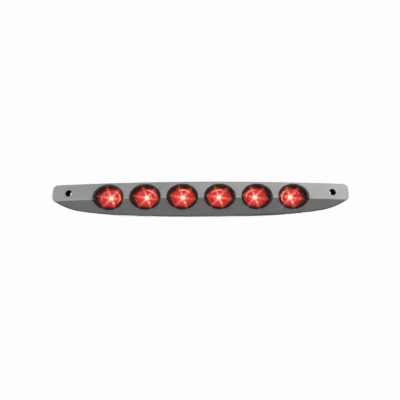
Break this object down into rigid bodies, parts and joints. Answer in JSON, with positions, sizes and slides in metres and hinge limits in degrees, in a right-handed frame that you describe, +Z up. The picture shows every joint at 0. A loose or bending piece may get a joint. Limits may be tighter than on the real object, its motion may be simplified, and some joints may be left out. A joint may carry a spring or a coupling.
{
  "type": "third brake light",
  "caption": "Long slim vehicle brake light with a creased satin grey housing, a row of oval red lamps in gloss black bezels and a screw hole near each end.",
  "frame": {"origin": "on the mounting face, midway between the two mounting holes", "axes": "+Z up as fitted, +X along the lamp, -Y towards the road behind the vehicle (the lit side), +Y into the vehicle"},
  "size_m": [0.3096, 0.0656, 0.0354],
  "materials": {
    "housing_paint": "satin silver-grey paint on a dark casting, bare inside the screw holes",
    "bezel_black": "gloss black, moulded",
    "red_lens": "clear red acrylic, polished",
    "seal_rubber": "matte black silicone",
    "reflector_chrome": "vacuum-metallised plastic, six facets",
    "led_body": "moulded epoxy, red when lit",
    "spacer_plastic": "natural nylon",
    "board_laminate": "green solder mask",
    "chip_black": "black epoxy with tinned ends",
    "capacitor_can": "drawn can",
    "solder": "bright solder",
    "zinc_steel": "zinc plated",
    "cover_plastic": "black, fine moulded texture",
    "foam_gasket": "closed-cell foam",
    "vent_plastic": "grey moulded plug",
    "cable_pvc": "satin PVC tube",
    "wire_red": "red PVC insulation",
    "wire_black": "black PVC insulation",
    "plug_plastic": "black nylon, moulded",
    "contact_brass": "tinned brass",
    "lock_plastic": "red-brown nylon",
    "wire_seal_rubber": "blue silicone"
  },
  "bodies": {
    "root": {"housing": "housing_paint", "bezel_ring_1": "bezel_black", "lens_1": "red_lens", "lens_seal_1": "seal_rubber", "reflector_1": "reflector_chrome", "led_1": "led_body", "bezel_ring_2": "bezel_black", "lens_2": "red_lens", "lens_seal_2": "seal_rubber", "reflector_2": "reflector_chrome", "led_2": "led_body", "bezel_ring_3": "bezel_black", "lens_3": "red_lens", "lens_seal_3": "seal_rubber", "reflector_3": "reflector_chrome", "led_3": "led_body", "bezel_ring_4": "bezel_black", "lens_4": "red_lens", "lens_seal_4": "seal_rubber", "reflector_4": "reflector_chrome", "led_4": "led_body", "bezel_ring_5": "bezel_black", "lens_5": "red_lens", "lens_seal_5": "seal_rubber", "reflector_5": "reflector_chrome", "led_5": "led_body", "bezel_ring_6": "bezel_black", "lens_6": "red_lens", "lens_seal_6": "seal_rubber", "reflector_6": "reflector_chrome", "led_6": "led_body", "led_spacers": "spacer_plastic", "circuit_board": "board_laminate", "resistors": "chip_black", "protection_diode": "chip_black", "capacitor": "capacitor_can", "solder_joints": "solder", "board_screws": "zinc_steel", "cover_screws": "zinc_steel", "rear_cover": "cover_plastic", "cover_seal": "seal_rubber", "mounting_gasket": "foam_gasket", "vent_plug": "vent_plastic", "cable_grommet": "seal_rubber", "cable_sleeve": "cable_pvc", "feed_wire": "wire_red", "ground_wire": "wire_black", "connector_housing": "plug_plastic", "terminals": "contact_brass", "terminal_lock": "lock_plastic", "wire_seals": "wire_seal_rubber"}
  },
  "joints": []
}
